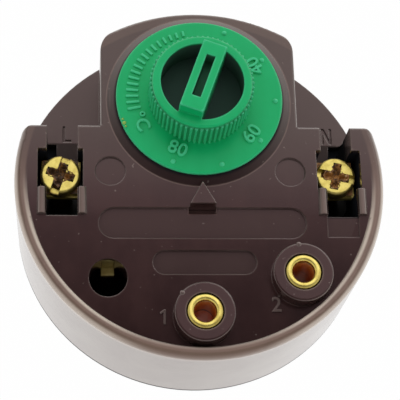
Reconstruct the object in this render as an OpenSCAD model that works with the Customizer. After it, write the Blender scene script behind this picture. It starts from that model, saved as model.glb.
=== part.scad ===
// Plug-in rod thermostat for a water heater: a round moulded head with a
// temperature dial, two screw terminals and two plug sockets, carried on a
// sensing stem. Millimetres. The origin lies on the stem's axis, level with
// the rear face of the head; +Z points out of the dial, +Y is the wire side.

/* [Head] */
// Radius of the round head
head_r = 31; // [29:0.5:36]
// Height of the head from its rear face to its rim
head_h = 21; // [20:0.5:26]
// Distance of the stem and dial axis from the head's edge
dial_inset = 16.7; // [16:0.1:17.5]
// Thickness of the moulded walls
wall = 2.5; // [1.8:0.1:2.8]
// Radius on the outer edge of the rim
edge_r = 1.1; // [0.6:0.1:1.6]
// Radius on the upper edge of the block between the wires
block_edge_r = 0.4; // [0.2:0.05:0.6]
// Radius on the edges beside the ledges and inside the rim
soft_r = 0.45; // [0.2:0.05:0.6]
// Width of the rim around the sloping face
rim_w = 2.1; // [1.5:0.1:3]
// Depth of the sloping face below the rim at its lowest point
face_drop = 3; // [1:0.1:3.2]
// Distance below the head's centre where the face starts to slope
slope_from = 3; // [2.5:0.1:6]
// Radius of the gentle bend where the face starts to slope
bend_r = 60; // [10:5:80]
// Depth of the two wire ledges below the rim
ledge_drop = 12.5; // [12:0.1:13]
// Width of the raised block between the two ledges
block_w = 33.5; // [32.5:0.5:35]
// Distance from the head's centre to the shoulders at the ledges
shoulder_y = 9.6; // [9:0.1:11]
// Radius of the corners where the shoulders meet the rim, seen in plan
corner_r = 2.5; // [1:0.1:3.5]
// Radius of the block's corners, seen in plan
block_corner_r = 4.5; // [2:0.1:6]

/* [Rear cover] */
// Thickness of the rear cover
cover_t = 2.5; // [2:0.1:2.8]
// Gap around the rear cover
cover_gap = 0.15; // [0.05:0.05:0.3]
// Distance of the cover screws from the head's edge
cover_screw_inset = 5.8; // [5.6:0.1:6.4]
// Radius of the cover screws' threads
cover_screw_r = 1.25; // [1:0.05:1.4]
// Radius of the cover screws' heads
cover_screw_head_r = 2.4; // [2:0.1:2.6]
// Thickness of the cover screws' heads
cover_screw_head_t = 1.3; // [1:0.1:1.6]
// Length of the cover screws under their heads
cover_screw_l = 6; // [4:0.5:8]
// Radius of the bosses for the cover screws
cover_boss_r = 2.5; // [2.2:0.1:2.6]
// Radius of the posts that hold the terminal bars up
post_r = 1.2; // [0.9:0.1:1.4]

/* [Marks on the face] */
// Depth of the shallow recesses
mark_depth = 0.6; // [0.3:0.05:0.8]
// Length of the upper long recess
pill_l = 34.6; // [28:0.2:36]
// Width of the upper long recess
pill_w = 5.2; // [4:0.1:5.8]
// Distance of the upper long recess below the head's centre
pill_y = 7.7; // [7:0.1:8.2]
// Length of the lower long recess
pill2_l = 17.2; // [14:0.2:19]
// Width of the lower long recess
pill2_w = 4; // [3:0.1:4.8]
// Distance of the lower long recess below the head's centre
pill2_y = 14.3; // [14:0.1:15.2]
// Radius of the two round recesses
disc_mark_r = 2.55; // [2:0.05:2.7]
// Distance of the round recesses from the terminal screws
disc_mark_off = 8.3; // [7.8:0.1:8.8]
// Height of the letters L and N on the ledges
letter_h = 3; // [2:0.1:3.4]
// Width of the letters' strokes
letter_line = 0.4; // [0.3:0.05:0.6]
// Height of the pointer above the face
pointer_h = 1.6; // [1:0.1:2.2]
// Length of the pointer
pointer_l = 3.95; // [3.5:0.05:4.4]
// Half of the pointer's width
pointer_half = 2.2; // [1.5:0.05:2.8]
// Width of the notch in front of the pointer
notch_w = 1; // [0.6:0.1:1.4]
// Depth of the notch
notch_d = 1.8; // [1:0.1:2.4]

/* [Sockets] */
// Distance of the sockets from the head's edge
socket_inset = 7.7; // [7.5:0.1:8.2]
// Angle between the two sockets about the head's centre
socket_step = 44.4; // [40:0.1:46]
// Radius of the moulded bosses around the sockets
boss_r = 5; // [4.4:0.1:5.2]
// Height of the bosses above the rim
boss_rise = 1; // [0.4:0.1:2]
// Outer radius of a brass socket
socket_r = 3; // [2.8:0.05:3.2]
// Radius of the plug pin bore in a socket
socket_bore_r = 1.8; // [1.5:0.05:2]
// Radius on the inner edge of a socket's lip
lip_r = 0.5; // [0.2:0.05:0.55]
// Gap around a socket in its boss
socket_gap = 0.1; // [0.05:0.01:0.2]
// Radius of the spare plug hole
spare_r = 3.15; // [2.8:0.05:3.3]
// Distance of the spare plug hole from the head's edge
spare_inset = 8.1; // [7.9:0.1:8.4]
// Angle between the spare plug hole and the first socket
spare_step = 42.6; // [41:0.1:44]
// Width of the brass tab beside the spare plug hole
tab_w = 2.2; // [1.4:0.1:2.4]
// Thickness of the tab
tab_t = 0.8; // [0.6:0.1:1]
// Length of the tab under the hole
tab_reach = 1.4; // [0.8:0.1:2]

/* [Terminals] */
// Distance of each terminal screw from the head's edge
term_inset = 7.6; // [7.4:0.1:7.8]
// Distance of the terminal screws above the head's centre
term_y = 1.8; // [1.5:0.1:2.2]
// Width of the clamp pocket
pocket_w = 7.5; // [7.4:0.1:8]
// Length of the clamp pocket
pocket_l = 7; // [6.9:0.1:7.3]
// Width of the wire slot
slot_w = 5.2; // [4.8:0.1:5.6]
// Distance of the wire slots' middles inward from the terminal screws
slot_shift = 0.3; // [0:0.05:0.4]
// Width of the deep part of the wire slot
deep_w = 1.5; // [1:0.1:2.4]
// Length of the pocket in front of the clamp
front_pocket_l = 4.8; // [4.6:0.1:5.2]
// Distance that both front pockets lie to the right of the screws
front_shift = 0.3; // [0:0.05:0.4]
// Width of the ribs beside the front pocket
guard_w = 1.5; // [1.2:0.1:1.8]
// Radius of the terminal screw's head
screw_head_r = 3.4; // [3.1:0.05:3.6]
// Thickness of the terminal screw's head
screw_head_t = 2.2; // [1.8:0.1:2.6]
// Radius of the terminal screw's thread
screw_r = 2; // [1.6:0.05:2.2]
// Height of the screw's head below the rim while the clamp is open
screw_sunk = 3; // [2.6:0.1:3.6]
// Width of the driver slot in the terminal screw
screw_slot_w = 1.5; // [1.1:0.05:1.7]
// Depth of the driver slot in the terminal screw
screw_slot_d = 0.9; // [0.6:0.05:1.1]
// Length of the arms of the cross recess, from end to end
cross_l = 4.8; // [3.6:0.1:5.2]
// Width of the arms of the cross recess
cross_w = 1.35; // [1:0.05:1.45]
// Depth of the cross recess
cross_d = 1.4; // [1.2:0.05:1.6]
// Width of the clamp plate over its lips
clamp_w = 6.6; // [6.3:0.1:6.9]
// Length of the clamp plate
clamp_l = 6.5; // [5.8:0.1:6.5]
// Angle that the clamp plate stands turned in its pocket
clamp_turn = 2; // [0:0.5:3]
// Thickness of the clamp plate
clamp_t = 1; // [0.8:0.1:1.3]
// Length of the clamp plate's turned-down lips
lip_h = 3; // [2.5:0.1:3.2]
// Thickness of the lips
lip_t = 1; // [0.7:0.1:1.2]
// Length of the lips along the plate
lip_l = 3; // [2:0.1:3.2]
// Distance that screw and clamp plate travel down
clamp_travel = 3.5; // [2.8:0.1:3.8]
// Thickness of the terminal bars
bar_t = 1.8; // [1.4:0.1:2]
// Depth of the bars' top face below the rim
bar_drop = 14.2; // [13.9:0.1:14.5]
// Length of the bar under each clamp
pad_l = 8.3; // [8:0.1:8.6]
// Width of the arm to the contact blade
arm_w = 3.6; // [3:0.1:3.8]
// Width of the arm to the second socket
arm_w2 = 3.4; // [3:0.1:3.6]
// Gap around the bars in the moulding
bar_gap = 0.15; // [0.1:0.05:0.25]
// Thickness of the contact strip
strip_t = 0.7; // [0.5:0.1:0.9]

/* [Dial knob] */
// Radius of the dial
dial_r = 14.15; // [13.6:0.05:15]
// Width of the cone that shows around the dial
plinth_w = 1.5; // [1.2:0.1:1.8]
// Height of the dial's upper face above the rim of the head
dial_rise = 1.75; // [1.5:0.05:2.2]
// Thickness of the dial at its edge
dial_t = 0.6; // [0.45:0.05:0.9]
// Radius of the finger grip over its ribs
grip_r = 8.75; // [8.2:0.05:9.2]
// Number of ribs around the finger grip
grip_ribs = 62; // [48:1:80]
// Depth of the ribs
rib_depth = 0.4; // [0.2:0.02:0.5]
// Height of the finger grip's rim above the dial
grip_h = 5.9; // [4.5:0.1:7]
// Radius of the hollow in the finger grip
cup_r = 6.95; // [6.4:0.05:7.3]
// Depth of the hollow in the finger grip
cup_depth = 5.2; // [3:0.1:5.6]
// Width of the cross bar in the hollow
bar_w = 4.1; // [3.6:0.1:4.6]
// Length of the cross bar
bar_l = 12.7; // [11.5:0.1:12.9]
// Height of the cross bar above the grip's rim
bar_rise = 2.2; // [1:0.1:4]
// Angle of the cross bar from the +Y axis at rest
bar_lean = 20; // [0:1:45]
// Width of the driver slot in the cross bar
driver_w = 1.5; // [1:0.1:2]
// Length of the driver slot
driver_l = 7.9; // [6:0.1:8.5]
// Radius of the knob's hub
hub_r = 4; // [3.6:0.05:4.4]

/* [Adjusting gear] */
// Radius of the adjusting spindle
spindle_r = 2; // [1.8:0.05:2.2]
// Radius of the spindle's collar
collar_r = 3.5; // [3.2:0.1:3.8]
// Radial clearance of turning fits
fit = 0.04; // [0.02:0.01:0.06]
// Thickness of the spindle's collar
collar_t = 1; // [0.8:0.1:1.2]
// Thickness of the carrier plate and its legs
carrier_t = 1.2; // [1:0.1:1.4]
// Length of the carrier plate
carrier_l = 25; // [24:0.5:26]
// Width of the carrier plate
carrier_w = 9; // [8:0.1:9.4]
// Width of the carrier's legs
leg_w = 7; // [6:0.1:8]
// Distance of the carrier's screws from its ends
carrier_screw_inset = 3; // [2.8:0.1:3.2]
// Radius of the carrier screws' threads
carrier_screw_r = 1.1; // [0.9:0.05:1.3]
// Radius of the carrier screws' heads
carrier_screw_head_r = 2.3; // [2:0.1:2.5]
// Width of the setting nut
nut_w = 9; // [8.6:0.1:9.4]
// Height of the setting nut
nut_h = 3.2; // [2.8:0.1:3.4]
// Distance from the stem axis to the lever's pivot
pivot_off = 3; // [2.9:0.1:3.2]
// Thickness of the cheeks that carry the pivot pin
cheek_t = 1.4; // [1.2:0.1:1.5]
// Width of the cheeks
cheek_w = 3.8; // [3.4:0.1:4.2]
// Drop from the nut's underside to the pivot pin
pivot_drop = 2; // [1.8:0.1:2.2]
// Radius of the lever's pivot pin
pivot_r = 0.8; // [0.6:0.05:0.9]
// Thickness of the lever
lever_t = 1.2; // [1:0.1:1.4]
// Width of the lever
lever_w = 5.6; // [5:0.1:5.7]
// Thickness of the contact blade
blade_t = 0.4; // [0.3:0.05:0.5]
// Width of the contact blade
blade_w = 3.8; // [3.4:0.1:4]
// Radius of the silver contacts
contact_r = 1.5; // [1.2:0.1:1.8]
// Thickness of the moving contact
button_t = 0.75; // [0.6:0.05:0.9]
// Radius of the contact pusher
pusher_r = 1.1; // [0.9:0.05:1.3]
// Distance from the pusher to the blade's rivet
blade_l = 12; // [11.5:0.1:12.5]
// Radius of the blade's rivet
rivet_r = 0.8; // [0.6:0.05:0.9]
// Radius of the rivet's heads
rivet_head_r = 1.4; // [1.2:0.1:1.6]
// Thickness of the rivet's heads
rivet_head_t = 0.5; // [0.4:0.05:0.6]

/* [Stem] */
// Length of the sensing stem behind the head
stem_l = 110; // [90:1:270]
// Outer radius of the stem
stem_r = 3.25; // [3:0.05:3.5]
// Wall of the stem tube
stem_wall = 0.7; // [0.5:0.05:0.9]
// Radius of the inner rod
rod_r = 1.25; // [1:0.05:1.6]
// Outer radius of the bush that holds the stem
bush_r = 4.4; // [4.2:0.05:4.6]
// Radius of the bush's flange and of its lock ring
bush_flange_r = 6; // [5.5:0.1:6.4]
// Thickness of the bush's flange
bush_flange_t = 1.5; // [1:0.1:1.8]
// Depth of the lock ring's seat
lock_depth = 1; // [0.8:0.1:1.2]

/* [Hidden] */
$fn = 96;

// A little more than nothing, for cuts that must break through
eps = 0.02;
// Head: the hollow inside, its ceiling and the angle of the sloping face
cavity_r = head_r - wall;
inner_r = head_r - rim_w;
stem_off = head_r - dial_inset;
ledge_z = head_h - ledge_drop;
cover_screw_pcr = head_r - cover_screw_inset;
cover_screw_angles = [90, -25, -155];
slope_y = -slope_from;
face_angle = atan(face_drop / (inner_r + slope_y));
bend_l = bend_r * tan(face_angle / 2);
ceiling_z = head_h - wall - 0.3;
low_ceiling_z = ceiling_z - face_drop;
cover_boss_h = low_ceiling_z - cover_t + eps;
ledge_under = ledge_z - wall - 0.5;
block_half = block_w / 2;

// Seat of the cover screws' heads above the rear face
cover_screw_seat = cover_t - 1;

// Height of the face at a distance y above the head's centre
function face_z(y) = head_h - max(0, slope_y - y) * tan(face_angle);

// Terminals: pocket, slot and what stands in them
term_x = head_r - term_inset;
bar_top = head_h - bar_drop;
pocket_y0 = term_y - pocket_l / 2;
pocket_y1 = term_y + pocket_l / 2;
slot_x = term_x - slot_shift;
slot_out = slot_x + slot_w / 2;
front_pocket_w = slot_w;
front_floor = bar_top + 0.7;
ramp_y = shoulder_y + 2;
deep_y = ramp_y - 0.3;
ledge_corner_r = 1.6;
screw_top = head_h - screw_sunk;
clamp_top = screw_top - screw_head_t;
screw_tip = bar_top - bar_t + 0.2;
pad_w = pocket_w + 1;
pad_y0 = -4.4;
arm_x0 = term_x - pad_w / 2;
well_z = screw_tip - clamp_travel - 0.9;
disc_mark_x = term_x - disc_mark_off;

// Sockets: places about the head's centre, and heights
socket_pcr = head_r - socket_inset;
socket_1_at = [0, -socket_pcr];
socket_2_at = [socket_pcr * sin(socket_step), -socket_pcr * cos(socket_step)];
spare_pcr = head_r - spare_inset;
spare_at = [-spare_pcr * sin(spare_step), -spare_pcr * cos(spare_step)];
boss_top = head_h + boss_rise;
socket_end = cover_t + 0.2;
// Tab beside the spare plug hole, measured from the hole's centre
tab_y0 = spare_r + 0.05;
tab_back = tab_y0 + 3.5;
tab_shelf = low_ceiling_z - 0.3;
tab_top = face_z(spare_at[1] + tab_y0) - 1.1;
strip_top = bar_top - 1.45;

// Dial and knob
dial_top = head_h + dial_rise;
plinth_r = dial_r + plinth_w;
plinth_top = dial_top - dial_t - 0.25;
pointer_tip = stem_off - plinth_r + 0.25;
pointer_foot = pointer_tip - pointer_l;
grip_top = dial_top + grip_h;
cup_floor = grip_top - cup_depth;
hub_end = ceiling_z + 0.1;

// Adjusting gear, from the ceiling of the head downwards
collar_top = ceiling_z - 0.2;
carrier_top = collar_top - collar_t - 0.05;
carrier_under = carrier_top - carrier_t;
carrier_screw_x = carrier_l / 2 - carrier_screw_inset;
carrier_screw_out = 1.9;
nut_top = carrier_under - 1.6;
nut_under = nut_top - nut_h;
pivot_z = nut_under - pivot_drop;
cheek_in = lever_w / 2 + 0.2;
lever_top = pivot_z + lever_t / 2;
lever_under = pivot_z - lever_t / 2;
pusher_y = term_y + pad_y0 + arm_w / 2 + 0.1 - stem_off;
lever_arm = -pusher_y - pivot_off;
rod_tip = lever_under - 0.05;
blade_under = bar_top + 0.1;
blade_top = blade_under + blade_t;
rivet_x = -blade_l;
pusher_pin_r = pusher_r - 0.4;
contact_pin_r = contact_r / 2;

// Stem: the tube's upper end is turned down to sit in the bush
spigot_r = stem_r - 0.25;
spigot_l = cover_t + 0.5;

// Places its children in the frame of the head's centre
module at_head() {
    translate([0, -stem_off, 0]) children();
}

// Places its children flat on the sloping face at [x, y] from the head's centre
module on_face(x, y) {
    translate([x, y, face_z(y)]) rotate([face_angle, 0, 0]) children();
}

// Draws its children on both sides of the centre line
module both_sides() {
    children();
    mirror([1, 0, 0]) children();
}

module pill(l, w, h) {
    linear_extrude(h) union() {
        square([l - w, w], center = true);
        translate([(l - w) / 2, 0]) circle(w / 2);
        translate([-(l - w) / 2, 0]) circle(w / 2);
    }
}

// A round bar with its upper edge rounded
module rounded_disc(r, h, e) {
    rotate_extrude() {
        square([r, h - e]);
        square([r - e, h]);
        intersection() {
            translate([r - e, h - e]) circle(e, $fn = 32);
            translate([r - e, h - e]) square([e, e]);
        }
    }
}

// Front housing

// Side view of what is cut away above the sloping face, with its bend
module slope_outline() {
    far = -2 * head_r;
    difference() {
        polygon([[slope_y + bend_l, 2 * head_h], [slope_y + bend_l, head_h],
                 [slope_y - bend_l * cos(face_angle), head_h - bend_l * sin(face_angle)],
                 [far, face_z(far)], [far, 2 * head_h]]);
        translate([slope_y + bend_l, head_h - bend_r]) circle(bend_r);
    }
}

// Outline of what rounds an edge that lies at the origin, its solid at -x and -y
module edge_outline(r) {
    difference() {
        translate([-r, -r]) square(r + 0.5);
        translate([-r, -r]) circle(r, $fn = 48);
    }
}

// Rounds the outer edge of the rim, but not that of the block
module soft_outside() {
    intersection() {
        rotate_extrude() translate([head_r, head_h]) edge_outline(edge_r);
        translate([-2 * head_r, -2 * head_r, 0])
            cube([4 * head_r, 2 * head_r + shoulder_y + 5, 2 * head_h]);
    }
}

// Rounds the edges of block and shoulder beside a ledge
module soft_edges() {
    translate([block_half, shoulder_y, head_h]) rotate([90, 0, 90])
        linear_extrude(head_r) edge_outline(soft_r);
    translate([block_half, head_r, head_h]) rotate([90, 0, 0])
        linear_extrude(head_r - shoulder_y) edge_outline(soft_r);
}

// Rounds the inner edge of the rim where the face lies well below it
module soft_rim() {
    intersection() {
        rotate_extrude() translate([inner_r, head_h]) mirror([1, 0]) difference() {
            translate([-soft_r, -soft_r]) square([soft_r + eps, soft_r + 0.5]);
            translate([-soft_r, -soft_r]) circle(soft_r, $fn = 48);
        }
        translate([-head_r, slope_y - soft_r / tan(face_angle) - head_r, 0])
            cube([2 * head_r, head_r, 2 * head_h]);
    }
}

// What is cut away above a ledge, with the round corners of block and ear
module ledge_cut() {
    corner_x = block_half - block_corner_r;
    corner_y = sqrt(pow(head_r - block_corner_r + eps, 2) - pow(corner_x, 2));
    ear_x = sqrt(pow(head_r - corner_r + eps, 2) - pow(shoulder_y - corner_r, 2));
    translate([block_half, shoulder_y, ledge_z])
        cube([head_r, head_r, head_h]);
    // Corner of the block
    difference() {
        translate([corner_x, corner_y, ledge_z])
            cube([2 * block_corner_r, 2 * block_corner_r, head_h]);
        translate([corner_x, corner_y, 0]) cylinder(r = block_corner_r, h = 3 * head_h);
        linear_extrude(3 * head_h)
            polygon([[0, 0], [corner_x * 1.5, corner_y * 1.5], [0, corner_y * 1.5]]);
    }
    // Corner of the ear
    difference() {
        translate([ear_x, shoulder_y - corner_r, ledge_z])
            cube([2 * corner_r, 2 * corner_r, head_h]);
        translate([ear_x, shoulder_y - corner_r, 0]) cylinder(r = corner_r, h = 3 * head_h);
        linear_extrude(3 * head_h)
            polygon([[0, 0], [ear_x * 1.5, (shoulder_y - corner_r) * 1.5],
                     [ear_x * 1.5, 0]]);
    }
}

// Clamp pocket and wire slot with its ramp
module terminal_cut() {
    translate([term_x - pocket_w / 2, pocket_y0, bar_top])
        cube([pocket_w, pocket_y1 - pocket_y0, head_h]);
    translate([slot_x - slot_w / 2, pocket_y0, ledge_z + 0.5])
        cube([slot_w, shoulder_y - pocket_y0 + 0.2, head_h]);
    // Floor that slopes down to the clamp
    translate([slot_x - slot_w / 2, 0, 0]) rotate([90, 0, 90])
        linear_extrude(slot_w)
            polygon([[pocket_y1 - 0.5, bar_top + 0.3], [pocket_y1, bar_top + 0.3],
                     [ramp_y, ledge_z], [ramp_y, ledge_z + 1],
                     [pocket_y1 - 0.5, ledge_z + 1]]);
    // Deep part of the slot
    translate([slot_out - deep_w, pocket_y0, bar_top])
        cube([deep_w, deep_y - pocket_y0, head_h]);
    // Round corner of the ledge where the deep part turns behind the ear
    translate([slot_out - 0.2, 0, bar_top]) linear_extrude(head_h) difference() {
        translate([0, shoulder_y + 0.1])
            square([ledge_corner_r, deep_y - shoulder_y - 0.1 + ledge_corner_r]);
        translate([0, deep_y + ledge_corner_r]) circle(ledge_corner_r);
    }
}

// Pockets for the ends of the two wires
module front_pockets() {
    for (x = [-term_x, term_x])
        translate([x + front_shift - front_pocket_w / 2, pocket_y0 - front_pocket_l, front_floor])
            cube([front_pocket_w, front_pocket_l + 1, head_h]);
}

// Letters on the ledges, drawn from their lower left corner
module letter_L() {
    square([letter_line, letter_h]);
    square([letter_h * 0.5, letter_line]);
}

module letter_N() {
    right = letter_h * 0.6;
    square([letter_line, letter_h]);
    translate([right - letter_line, 0]) square([letter_line, letter_h]);
    polygon([[0, letter_h], [letter_line * 1.2, letter_h], [right, 0],
             [right - letter_line * 1.2, 0]]);
}

// Room for the terminal bars, cut from behind
module bar_recess() {
    depth = bar_top - ledge_under;
    translate([term_x - pad_w / 2 - bar_gap, term_y + pad_y0 - bar_gap, ledge_under - 1])
        cube([pad_w + 2 * bar_gap, pad_l + 2 * bar_gap, depth + 1]);
    translate([0, term_y + pad_y0 - bar_gap, ledge_under - 1])
        cube([term_x, arm_w + 2 * bar_gap, depth + 1]);
    // Way for the arm to the second socket
    translate([0, 0, ledge_under - 1]) linear_extrude(depth + 1)
        polygon([[arm_x0 - 1, term_y + pad_y0 + 1], [arm_x0 + arm_w2 + bar_gap, term_y + pad_y0 + 1],
                 [socket_2_at[0] + arm_w2 / 2 + 1, socket_2_at[1]],
                 [socket_2_at[0] - arm_w2 / 2 - 1, socket_2_at[1]]]);
}

// The hollow inside the head, open at the rear
module hollow() {
    h1 = low_ceiling_z;
    inner_half = block_half - wall;
    mid_half = term_x - pocket_w / 2 - 2;
    mid_y = pocket_y0 - front_pocket_l - 2.2;
    translate([0, 0, -1]) cylinder(r = cavity_r, h = ledge_under + 1);
    intersection() {
        cylinder(r = cavity_r, h = h1);
        union() {
            translate([-inner_half, 0, -1]) cube([2 * inner_half, cavity_r, h1 + 1]);
            translate([-mid_half, mid_y - 1, -1])
                cube([2 * mid_half, shoulder_y - wall - mid_y + 1, h1 + 1]);
            translate([-cavity_r, -cavity_r, -1])
                cube([2 * cavity_r, cavity_r + mid_y, h1 + 1]);
        }
    }
    intersection() {
        cylinder(r = cavity_r, h = ceiling_z);
        translate([-inner_half, slope_y, 0])
            cube([2 * inner_half, cavity_r, ceiling_z]);
    }
}

module guard_rib() {
    rib_l = front_pocket_l - 0.2;
    translate([0, 0.2, -0.2]) intersection() {
        rotate([-90, 0, 0]) cylinder(r = guard_w / 2, h = rib_l);
        translate([-guard_w / 2, 0, 0]) cube([guard_w, rib_l, guard_w]);
    }
    translate([-guard_w / 2, 0.2, -1]) cube([guard_w, rib_l, 1]);
}

module front_housing() color([0.34, 0.26, 0.25]) at_head() difference() {
    union() {
        difference() {
            rounded_disc(head_r, head_h, block_edge_r);
            // Sloping lower face
            intersection() {
                cylinder(r = inner_r, h = 2 * head_h);
                translate([-head_r, 0, 0]) rotate([90, 0, 90])
                    linear_extrude(2 * head_r) slope_outline();
            }
            soft_rim();
            soft_outside();
            both_sides() ledge_cut();
            both_sides() soft_edges();
            both_sides() terminal_cut();
            front_pockets();
            hollow();
            both_sides() bar_recess();
            // Letters of the live and neutral wires
            translate([-term_x + 0.3, ramp_y + 0.2, ledge_z - 0.25])
                linear_extrude(1) letter_L();
            translate([term_x - 0.3, ramp_y + 0.2, ledge_z - 0.25])
                linear_extrude(1) letter_N();
            // Shallow recesses in the face
            on_face(0.2, -pill_y) translate([0, 0, -mark_depth])
                pill(pill_l, pill_w, 3);
            on_face(0.4, -pill2_y) translate([0, 0, -mark_depth])
                pill(pill2_l, pill2_w, 3);
            both_sides() translate([disc_mark_x, term_y - 0.5, head_h - mark_depth * 0.7])
                cylinder(r = disc_mark_r, h = 3);
            on_face(term_x + front_shift, pocket_y0 - front_pocket_l - 1.7)
                translate([-front_pocket_w / 2 - 0.05, -1.85, -mark_depth * 0.6])
                    cube([front_pocket_w + 0.1, 3.6, 3]);
        }
        // Low cone under the dial
        translate([0, stem_off, head_h]) {
            cylinder(r1 = plinth_r, r2 = dial_r - 0.1, h = plinth_top - head_h);
            translate([0, 0, -1]) cylinder(r = plinth_r, h = 1);
        }
        // Pointer
        translate([0.15, pointer_tip, head_h - 1]) linear_extrude(pointer_h + 1)
            polygon([[0, 0], [pointer_half, -pointer_l], [-pointer_half, -pointer_l]]);
        // Bosses of the two sockets
        for (p = [socket_1_at, socket_2_at])
            translate([p[0], p[1], low_ceiling_z - 1])
                rounded_disc(boss_r, boss_top - low_ceiling_z + 1, 0.35);
        // Guard ribs beside the wire pockets
        for (x = [-term_x, term_x]) for (s = [-1, 1])
            translate([x + front_shift + s * (front_pocket_w / 2 + guard_w / 2 - 0.05),
                       pocket_y0 - front_pocket_l, face_z(pocket_y0 - 2)])
                guard_rib();
        // Bosses for the cover screws
        for (a = cover_screw_angles)
            intersection() {
                rotate([0, 0, a]) translate([cover_screw_pcr, 0, cover_t])
                    cylinder(r = cover_boss_r, h = cover_boss_h);
                cylinder(r = cavity_r + eps, h = head_h);
            }
        translate([0, cover_screw_pcr, low_ceiling_z - 1])
            cylinder(r = cover_boss_r, h = ceiling_z - low_ceiling_z + 1 + eps);
        // Bosses for the carrier plate
        both_sides() translate([carrier_screw_x, stem_off, carrier_top])
            cylinder(r = carrier_screw_r + 1.5, h = ceiling_z - carrier_top + eps);
    }
    // Bearing of the knob's hub
    translate([0, stem_off, ceiling_z - 2]) cylinder(r = hub_r + fit, h = 10);
    // Socket holes
    for (p = [socket_1_at, socket_2_at])
        translate([p[0], p[1], low_ceiling_z - 2])
            cylinder(r = socket_r + socket_gap, h = head_h);
    // Spare plug hole
    translate([spare_at[0], spare_at[1], low_ceiling_z - 2])
        cylinder(r = spare_r, h = head_h);
    // Groove for the brass tab beside the spare plug hole
    translate([spare_at[0] - tab_w / 2 - 0.1, spare_at[1] + tab_y0 - 0.2, low_ceiling_z - 2])
        cube([tab_w + 0.2, tab_t + 0.3, tab_top - low_ceiling_z + 2.15]);
    // Notch in front of the pointer
    translate([0.05 - pointer_half, pointer_foot + 0.05 - notch_w, face_z(pointer_foot) - notch_d])
        cube([2 * pointer_half + 0.2, notch_w, head_h]);
    // Pilot holes for the screws
    for (a = cover_screw_angles)
        rotate([0, 0, a]) translate([cover_screw_pcr, 0, cover_t - 1])
            cylinder(r = cover_screw_r, h = cover_screw_l + 2);
    both_sides() translate([carrier_screw_x, stem_off, carrier_top - 1])
        cylinder(r = carrier_screw_r, h = carrier_screw_out + 1.2);
}

// Rear cover and its screws

module rear_cover() color([0.3, 0.23, 0.22]) difference() {
    union() {
        at_head() cylinder(r = cavity_r - cover_gap, h = cover_t);
        // Posts that hold the terminal bars up
        at_head() both_sides() {
            translate([arm_x0 + pad_w - post_r - 0.25, term_y + pad_y0 + pad_l - post_r - 0.4, 0])
                cylinder(r = post_r, h = bar_top - bar_t);
            translate([arm_x0 + post_r + 0.15, term_y + pad_y0 + post_r + 0.1, 0])
                cylinder(r = post_r, h = bar_top - bar_t);
        }
        // Pad under the contact strip
        translate([-2.5, pusher_y - 9, 0]) cube([5, 7, strip_top - strip_t]);
    }
    // Room under the blade's rivet
    translate([rivet_x, pusher_y, bar_top - bar_t - rivet_head_t - 0.4])
        cylinder(r = rivet_head_r + 0.3, h = cover_t + bar_t);
    // Hole for the stem's bush, with the seat of its lock ring
    translate([0, 0, -1]) cylinder(r = bush_r + fit, h = cover_t + 2);
    translate([0, 0, -1]) cylinder(r = bush_flange_r + 0.2, h = lock_depth + 1);
    at_head() {
        // Ways in for the plug pins
        for (p = [socket_1_at, socket_2_at])
            translate([p[0], p[1], -1]) cylinder(r = socket_r + socket_gap, h = cover_t + 2);
        // Wells that the terminal screws' tips run into
        both_sides() translate([term_x, term_y, well_z]) cylinder(r = screw_r + 0.5, h = cover_t);
        for (a = cover_screw_angles) rotate([0, 0, a]) translate([cover_screw_pcr, 0, -1]) {
            cylinder(r = cover_screw_r + 0.2, h = cover_t + 2);
            cylinder(r = cover_screw_head_r + 0.2, h = 1 + cover_screw_seat);
        }
    }
}

module cover_screws() color([0.72, 0.72, 0.7]) at_head()
    for (a = cover_screw_angles) rotate([0, 0, a]) translate([cover_screw_pcr, 0, 0]) difference() {
        union() {
            translate([0, 0, cover_screw_seat - cover_screw_head_t])
                cylinder(r = cover_screw_head_r, h = cover_screw_head_t);
            translate([0, 0, cover_screw_seat - 0.5])
                cylinder(r = cover_screw_r - fit, h = cover_screw_l + 0.5);
        }
        translate([-0.4, -cover_screw_head_r, cover_screw_seat - cover_screw_head_t - 1])
            cube([0.8, 2 * cover_screw_head_r, 1 + cover_screw_head_t * 0.45]);
    }

// Dial knob and adjusting gear

// Outline of the ribbed grip: one tooth for each rib
module ribbed_outline(r, n, d) {
    polygon([for (i = [0:n - 1]) for (k = [0, 1, 2, 3])
        let (a = 360 / n * (i + [0, 0.2, 0.5, 0.7][k]), q = k < 2 ? r - d : r)
        [q * cos(a), q * sin(a)]]);
}

module dial_knob() color([0.2, 0.66, 0.42]) rotate([0, 0, -bar_lean]) difference() {
    union() {
        translate([0, 0, dial_top - dial_t]) rounded_disc(dial_r, dial_t, 0.3);
        translate([0, 0, dial_top - dial_t]) linear_extrude(grip_h + dial_t - 0.6)
            ribbed_outline(grip_r, grip_ribs, rib_depth);
        translate([0, 0, grip_top - 0.7]) rounded_disc(grip_r - rib_depth, 0.7, 0.3);
        translate([0, 0, hub_end]) cylinder(r = hub_r, h = dial_top - hub_end);
        translate([-bar_w / 2, -bar_l / 2, cup_floor - 1])
            cube([bar_w, bar_l, cup_depth + bar_rise + 1]);
    }
    // The hollow, on both sides of the cross bar
    difference() {
        translate([0, 0, cup_floor]) cylinder(r = cup_r, h = cup_depth + 1);
        translate([-bar_w / 2, -cup_r - 1, cup_floor - 1])
            cube([bar_w, 2 * cup_r + 2, cup_depth + 4]);
    }
    // Driver slot
    translate([-driver_w / 2, -driver_l / 2, grip_top + bar_rise - 3])
        cube([driver_w, driver_l, 10]);
    // Bore for the spindle, with its flat
    difference() {
        translate([0, 0, hub_end - 1]) cylinder(r = spindle_r + 0.03, h = cup_floor - hub_end - 0.2);
        translate([-spindle_r - 1, spindle_r * 0.7 + 0.03, hub_end - 2])
            cube([2 * spindle_r + 2, spindle_r, cup_floor]);
    }
}

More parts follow.
